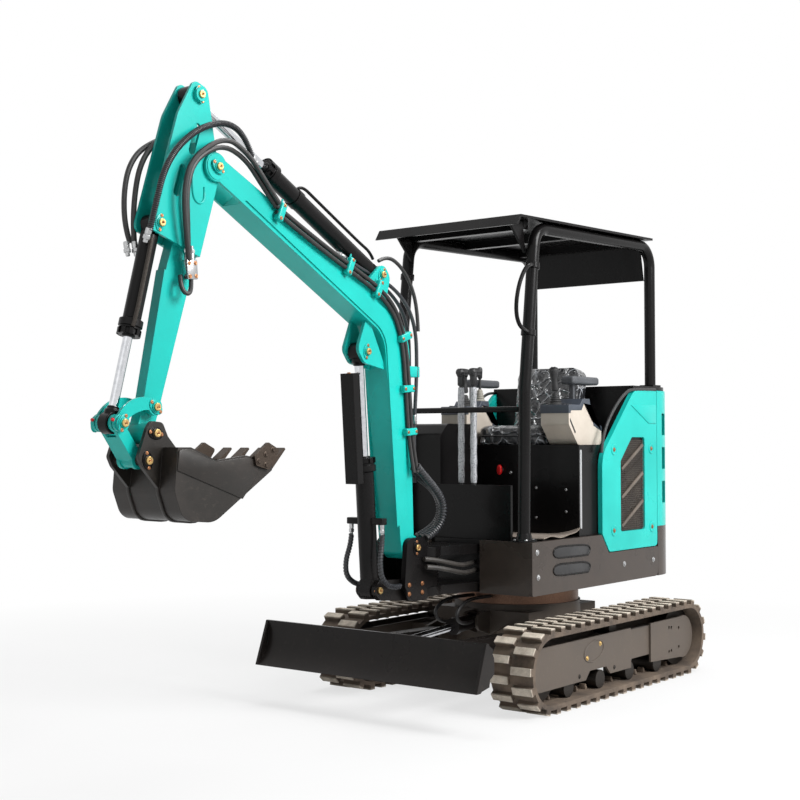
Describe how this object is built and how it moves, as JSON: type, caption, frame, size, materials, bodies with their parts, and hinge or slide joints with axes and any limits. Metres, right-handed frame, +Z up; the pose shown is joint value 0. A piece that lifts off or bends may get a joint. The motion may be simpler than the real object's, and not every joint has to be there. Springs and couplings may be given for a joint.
{
  "type": "mini excavator",
  "caption": "Compact tracked excavator with rubber tracks, dozer blade, open canopy over the driver's place, swinging boom, arm and toothed bucket worked by hydraulic cylinders.",
  "frame": {"origin": "on the ground under the middle of the whole machine's box, boom raised as stored", "axes": "+X towards the blade and bucket, +Y to the machine's left, +Z up"},
  "size_m": [3.7965, 1.296, 2.6723],
  "materials": {
    "teal_paint": "gloss",
    "black_paint": "gloss",
    "charcoal_paint": "satin",
    "track_rubber": "dusty matte",
    "cast_steel": "matte",
    "chrome_rod": "polished",
    "bare_steel": "worn",
    "seat_cover": "satin",
    "beige_plastic": "satin",
    "grey_plastic": "satin",
    "black_plastic": "satin",
    "mat_rubber": "ribbed matte"
  },
  "bodies": {
    "undercarriage": {"carbody": "charcoal_paint", "slew_ring": "bare_steel", "left_track": "track_rubber", "left_track_frame": "charcoal_paint", "left_rollers": "cast_steel", "right_track": "track_rubber", "right_track_frame": "charcoal_paint", "right_rollers": "cast_steel"},
    "blade": {"dozer_blade": "black_paint", "blade_arms": "black_paint"},
    "house": {"house_deck": "black_paint", "floor_plate": "black_paint", "counterweight": "black_paint", "engine_cover": "black_paint", "engine_block": "cast_steel", "seat_box": "black_paint", "seat_cushion": "seat_cover", "seat_back": "seat_cover", "travel_levers": "black_plastic", "floor_mat": "mat_rubber", "front_panel": "black_paint", "side_box": "black_paint", "canopy_hoop_left": "black_paint", "canopy_hoop_right": "black_paint", "canopy_roof": "black_paint", "front_rail": "black_paint", "left_skirt": "black_paint", "left_side_panel": "teal_paint", "left_grille": "black_paint", "left_console": "beige_plastic", "left_armrest": "grey_plastic", "left_joystick": "black_plastic", "right_skirt": "black_paint", "right_side_panel": "teal_paint", "right_grille": "black_paint", "right_console": "beige_plastic", "right_armrest": "grey_plastic", "right_joystick": "black_plastic"},
    "hood": {"rear_hood": "teal_paint"},
    "swing": {"swing_bracket": "black_paint"},
    "boom": {"boom": "teal_paint"},
    "arm": {"arm": "teal_paint"},
    "bucket": {"bucket": "black_paint", "bucket_teeth": "bare_steel"},
    "side_links": {"side_links": "teal_paint"},
    "bucket_link": {"bucket_link": "teal_paint"},
    "blade_cylinder_barrel": {"blade_cylinder_barrel": "black_paint"},
    "blade_cylinder_rod": {"blade_cylinder_rod": "chrome_rod"},
    "boom_cylinder_barrel": {"boom_cylinder_barrel": "black_paint"},
    "boom_cylinder_rod": {"boom_cylinder_rod": "chrome_rod"},
    "arm_cylinder_barrel": {"arm_cylinder_barrel": "black_paint"},
    "arm_cylinder_rod": {"arm_cylinder_rod": "chrome_rod"},
    "bucket_cylinder_barrel": {"bucket_cylinder_barrel": "black_paint"},
    "bucket_cylinder_rod": {"bucket_cylinder_rod": "chrome_rod"}
  },
  "joints": [
    {"name": "slew", "type": "hinge", "parent": "undercarriage", "child": "house", "pos_m": [-0.89678, 0, 0.515], "axis": [0, 0, 1], "continuous": true},
    {"name": "hood", "type": "hinge", "parent": "house", "child": "hood", "pos_m": [-1.61178, -0.468, 1.158], "axis": [0, 0, 1], "range_deg": [0, 95]},
    {"name": "boom_swing", "type": "hinge", "parent": "house", "child": "swing", "pos_m": [-0.05678, 0, 0.706], "axis": [0, 0, 1], "range_deg": [-50, 75]},
    {"name": "boom_lift", "type": "hinge", "parent": "swing", "child": "boom", "pos_m": [0.10822, 0, 0.76], "axis": [0, -1, 0], "range_deg": [-80, 20]},
    {"name": "arm_reach", "type": "hinge", "parent": "boom", "child": "arm", "pos_m": [1.38059, 0, 2.34818], "axis": [0, 1, 0], "range_deg": [-88, 26]},
    {"name": "bucket_curl", "type": "hinge", "parent": "arm", "child": "bucket", "pos_m": [1.72237, 0, 1.29], "axis": [0, 1, 0], "range_deg": [-135, 25]},
    {"name": "blade_lift", "type": "hinge", "parent": "undercarriage", "child": "blade", "pos_m": [-0.46678, 0, 0.262], "axis": [0, -1, 0], "range_deg": [-28, 6]},
    {"name": "boom_cylinder_turn", "type": "hinge", "parent": "swing", "child": "boom_cylinder_barrel", "pos_m": [0.33822, 0, 0.578], "axis": [0, -1, 0], "range_deg": [-79.08, 20.52]},
    {"name": "boom_cylinder_stroke", "type": "slide", "parent": "boom_cylinder_barrel", "child": "boom_cylinder_rod", "axis": [0.0743, 0, 0.9972], "range_m": [-0.3697, 0.0954]},
    {"name": "arm_cylinder_turn", "type": "hinge", "parent": "boom", "child": "arm_cylinder_barrel", "pos_m": [0.30901, 0, 2.02143], "axis": [0, 1, 0], "range_deg": [-6.13, 2.52]},
    {"name": "arm_cylinder_stroke", "type": "slide", "parent": "arm_cylinder_barrel", "child": "arm_cylinder_rod", "axis": [0.8872, 0, 0.4613], "range_m": [-0.3781, 0.1145]},
    {"name": "bucket_cylinder_turn", "type": "hinge", "parent": "arm", "child": "bucket_cylinder_barrel", "pos_m": [1.66282, 0, 2.09255], "axis": [0, 1, 0], "range_deg": [-1.32, 2.74]},
    {"name": "bucket_cylinder_stroke", "type": "slide", "parent": "bucket_cylinder_barrel", "child": "bucket_cylinder_rod", "axis": [0.254, 0, -0.9672], "range_m": [-0.2568, 0.0508]},
    {"name": "blade_cylinder_turn", "type": "hinge", "parent": "undercarriage", "child": "blade_cylinder_barrel", "pos_m": [-0.50178, 0, 0.352], "axis": [0, -1, 0], "range_deg": [-26.88, 6.55]},
    {"name": "blade_cylinder_stroke", "type": "slide", "parent": "blade_cylinder_barrel", "child": "blade_cylinder_rod", "axis": [0.9979, 0, -0.0647], "range_m": [-0.0122, 0.0422]},
    {"name": "side_link_turn", "type": "hinge", "parent": "arm", "child": "side_links", "pos_m": [1.69673, 0, 1.38891], "axis": [0, 1, 0], "range_deg": [-91.68, 17.79]},
    {"name": "bucket_link_turn", "type": "hinge", "parent": "bucket", "child": "bucket_link", "pos_m": [1.7613, 0, 1.18827], "axis": [0, 1, 0], "range_deg": [-17, 87.41]}
  ],
  "couplings": [
    {"joint": "boom_cylinder_turn", "follows": "boom_lift", "ratio": 0.976},
    {"joint": "boom_cylinder_stroke", "follows": "boom_lift", "m_per_rad": 0.2619},
    {"joint": "arm_cylinder_turn", "follows": "arm_reach", "ratio": 0.0583},
    {"joint": "arm_cylinder_stroke", "follows": "arm_reach", "m_per_rad": 0.2436},
    {"joint": "bucket_cylinder_turn", "follows": "bucket_curl", "ratio": -0.0129},
    {"joint": "bucket_cylinder_stroke", "follows": "bucket_curl", "m_per_rad": 0.1073},
    {"joint": "blade_cylinder_turn", "follows": "blade_lift", "ratio": 0.9244},
    {"joint": "blade_cylinder_stroke", "follows": "blade_lift", "m_per_rad": -0.0781},
    {"joint": "side_link_turn", "follows": "bucket_curl", "ratio": 0.6717},
    {"joint": "bucket_link_turn", "follows": "bucket_curl", "ratio": -0.6401}
  ]
}
